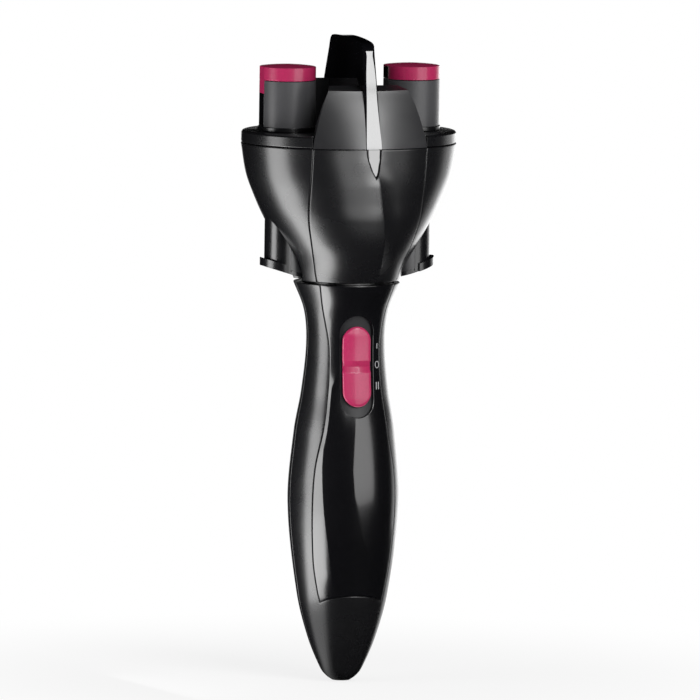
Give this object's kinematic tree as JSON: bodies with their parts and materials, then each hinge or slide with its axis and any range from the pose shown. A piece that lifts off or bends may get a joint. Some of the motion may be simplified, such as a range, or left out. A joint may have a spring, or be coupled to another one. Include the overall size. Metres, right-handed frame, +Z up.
{
  "type": "hair braiding machine",
  "caption": "Battery hair braider with a bellied grip, thumb slider and turning oval head, whose geared spindles carry hook caps lifted by spring levers beside a fin.",
  "frame": {"origin": "Tip of the grip, on the axis that the head turns on.", "axes": "+Z runs up the axis from the grip's tip to the fin; -Y is the front, with the thumb slider; +X is to the right as the front is seen."},
  "size_m": [0.0848, 0.0684, 0.2504],
  "materials": {
    "gloss_black": "piano-black gloss moulding",
    "satin_black": "fine satin black moulding",
    "grey": "dark grey moulding with a fine grain",
    "pink": "raspberry pink gloss moulding",
    "white_plastic": "natural acetal",
    "steel": "drawn or turned steel",
    "bronze": "sintered bronze",
    "board": "green solder mask",
    "cell": "plain printed can"
  },
  "bodies": {
    "handle": {"handle_front_shell": "satin_black", "handle_rear_shell": "satin_black", "front_panel": "gloss_black", "switch_bezel": "grey", "circuit_board": "board", "slide_switch": "steel", "motor": "steel", "gearbox_housing": "white_plastic", "chassis": "grey", "battery_cells": "cell", "battery_link": "steel", "battery_terminals": "steel", "neck_plate": "satin_black", "neck_clutch": "steel", "case_screws": "steel"},
    "battery_door": {"battery_door": "satin_black"},
    "switch_slider": {"switch_button": "pink", "switch_stem": "satin_black"},
    "head": {"head_cup": "gloss_black", "cup_front_panel": "gloss_black", "cup_rear_panel": "gloss_black", "head_cover": "gloss_black", "divider_fin": "gloss_black", "front_shroud": "grey", "rear_shroud": "grey", "carrier_plate": "white_plastic", "carrier_screws": "steel", "spindle_bushes": "bronze", "drive_clutch": "steel", "head_retainer": "steel"},
    "sun": {"drive_shaft": "steel", "sun_gear": "white_plastic"},
    "left_spindle": {"left_spindle_body": "grey", "left_spindle_base": "gloss_black", "left_spindle_gear": "white_plastic", "left_spindle_clip": "steel"},
    "left_lever": {"left_push_lever": "gloss_black", "left_lever_core": "grey", "left_return_spring": "steel"},
    "left_hook": {"left_hook_leg": "gloss_black", "left_hook_cap": "pink", "left_hook_rod": "steel"},
    "right_spindle": {"right_spindle_body": "grey", "right_spindle_base": "gloss_black", "right_spindle_gear": "white_plastic", "right_spindle_clip": "steel"},
    "right_lever": {"right_push_lever": "gloss_black", "right_lever_core": "grey", "right_return_spring": "steel"},
    "right_hook": {"right_hook_leg": "gloss_black", "right_hook_cap": "pink", "right_hook_rod": "steel"}
  },
  "joints": [
    {"name": "battery_door_swing", "type": "hinge", "parent": "handle", "child": "battery_door", "pos_m": [0, 0.0176, 0.034], "axis": [-1, 0, 0], "range_deg": [0, 75]},
    {"name": "switch_slide", "type": "slide", "parent": "handle", "child": "switch_slider", "axis": [0, 0, 1], "range_m": [-0.004, 0.004]},
    {"name": "head_spin", "type": "hinge", "parent": "handle", "child": "head", "pos_m": [0, 0, 0.156], "axis": [0, 0, 1], "continuous": true},
    {"name": "sun_spin", "type": "hinge", "parent": "head", "child": "sun", "pos_m": [0, 0, 0.1995], "axis": [0, 0, 1], "continuous": true},
    {"name": "left_spindle_spin", "type": "hinge", "parent": "head", "child": "left_spindle", "pos_m": [-0.025, 0, 0.2139], "axis": [0, 0, 1], "continuous": true},
    {"name": "left_lever_push", "type": "slide", "parent": "head", "child": "left_lever", "axis": [0, 0, 1], "range_m": [0, 0.006], "stiffness_N_per_m": 350, "springref_m": -0.002, "deforming": ["left_return_spring"]},
    {"name": "left_hook_lift", "type": "slide", "parent": "left_spindle", "child": "left_hook", "axis": [0, 0, 1], "range_m": [0, 0.006]},
    {"name": "right_spindle_spin", "type": "hinge", "parent": "head", "child": "right_spindle", "pos_m": [0.025, 0, 0.2139], "axis": [0, 0, 1], "continuous": true},
    {"name": "right_lever_push", "type": "slide", "parent": "head", "child": "right_lever", "axis": [0, 0, 1], "range_m": [0, 0.006], "stiffness_N_per_m": 350, "springref_m": -0.002, "deforming": ["right_return_spring"]},
    {"name": "right_hook_lift", "type": "slide", "parent": "right_spindle", "child": "right_hook", "axis": [0, 0, 1], "range_m": [0, 0.006]}
  ],
  "couplings": [
    {"joint": "left_spindle_spin", "follows": "sun_spin", "ratio": -1.7778},
    {"joint": "left_hook_lift", "follows": "left_lever_push", "ratio": 1},
    {"joint": "right_spindle_spin", "follows": "sun_spin", "ratio": -1.7778},
    {"joint": "right_hook_lift", "follows": "right_lever_push", "ratio": 1}
  ]
}
